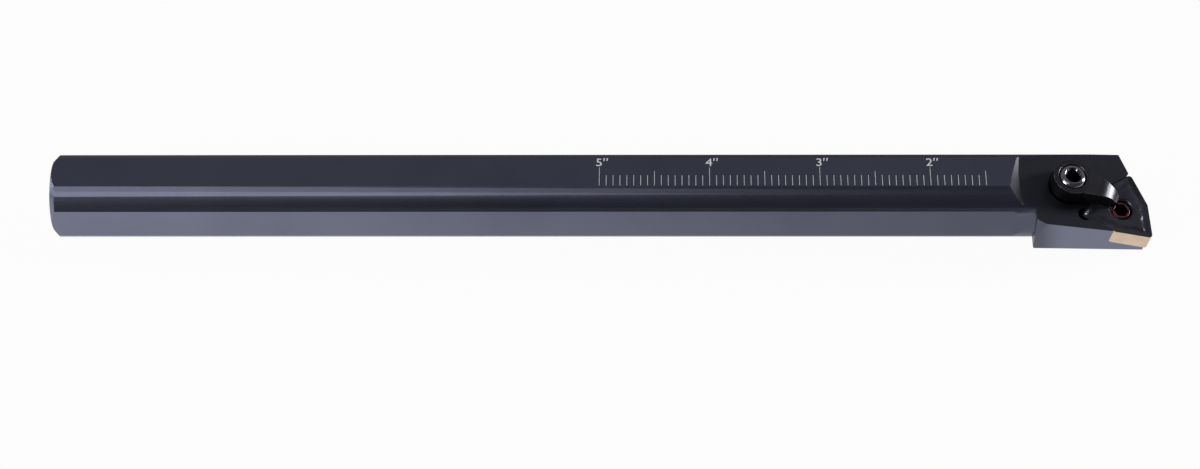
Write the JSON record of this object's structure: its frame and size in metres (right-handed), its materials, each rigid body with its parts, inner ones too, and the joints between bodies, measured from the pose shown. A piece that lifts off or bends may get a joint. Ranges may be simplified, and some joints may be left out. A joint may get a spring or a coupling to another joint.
{
  "type": "boring bar",
  "caption": "Flatted round steel bar with an offset head that clamps a trigon cutting insert, for turning the inside of a bore.",
  "frame": {"origin": "on the shank's axis, in the plane of the rear face", "axes": "+X along the bar towards the cutting tip, -Y towards the cutting side, +Z out of the flat that carries the scale"},
  "size_m": [0.254, 0.0222, 0.019],
  "materials": {
    "blackened_steel": "blackened, satin",
    "coated_carbide": "black ceramic top, tan coated sides",
    "bronzed_steel": "heat tinted, satin",
    "clamp_steel": "blackened, smooth",
    "screw_steel": "blackened, glossy"
  },
  "bodies": {
    "bar": {"bar": "blackened_steel", "insert": "coated_carbide", "lock_pin": "bronzed_steel"},
    "clamp": {"clamp": "clamp_steel"},
    "screw": {"clamp_screw": "screw_steel"}
  },
  "joints": [
    {"name": "clamp_lift", "type": "slide", "parent": "bar", "child": "clamp", "axis": [0.1373, -0.165, 0.9767], "range_m": [0, 0.003]},
    {"name": "screw_turn", "type": "hinge", "parent": "bar", "child": "screw", "pos_m": [0.23505, -0.0014, 0.00457], "axis": [0.1373, -0.165, 0.9767], "range_deg": [0, 540]}
  ],
  "couplings": [
    {"joint": "screw_turn", "follows": "clamp_lift", "rad_per_m": 3141.6}
  ]
}
